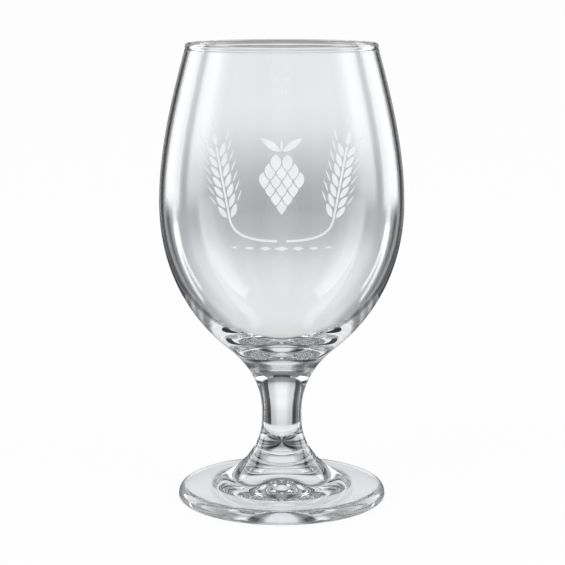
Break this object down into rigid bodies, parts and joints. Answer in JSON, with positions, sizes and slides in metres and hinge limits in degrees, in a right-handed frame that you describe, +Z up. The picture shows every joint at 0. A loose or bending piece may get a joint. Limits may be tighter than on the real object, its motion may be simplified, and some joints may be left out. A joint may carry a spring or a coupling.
{
  "type": "beer glass",
  "caption": "Clear stemmed beer glass with a round-bellied bowl, a short stem, a wide foot and a white enamel print of barley and hop.",
  "frame": {"origin": "centre of the foot's resting ring, on the table", "axes": "+Z up along the glass's axis, towards the rim; the print faces -Y"},
  "size_m": [0.0874, 0.0874, 0.165],
  "materials": {
    "clear_glass": "clear soda-lime glass, fire-polished",
    "white_enamel": "matt white glass enamel, screen-printed and fired"
  },
  "bodies": {
    "root": {"bowl": "clear_glass", "stem": "clear_glass", "foot": "clear_glass", "print_left_ear": "white_enamel", "print_right_ear": "white_enamel", "print_hop_cone": "white_enamel", "print_border": "white_enamel"}
  },
  "joints": []
}
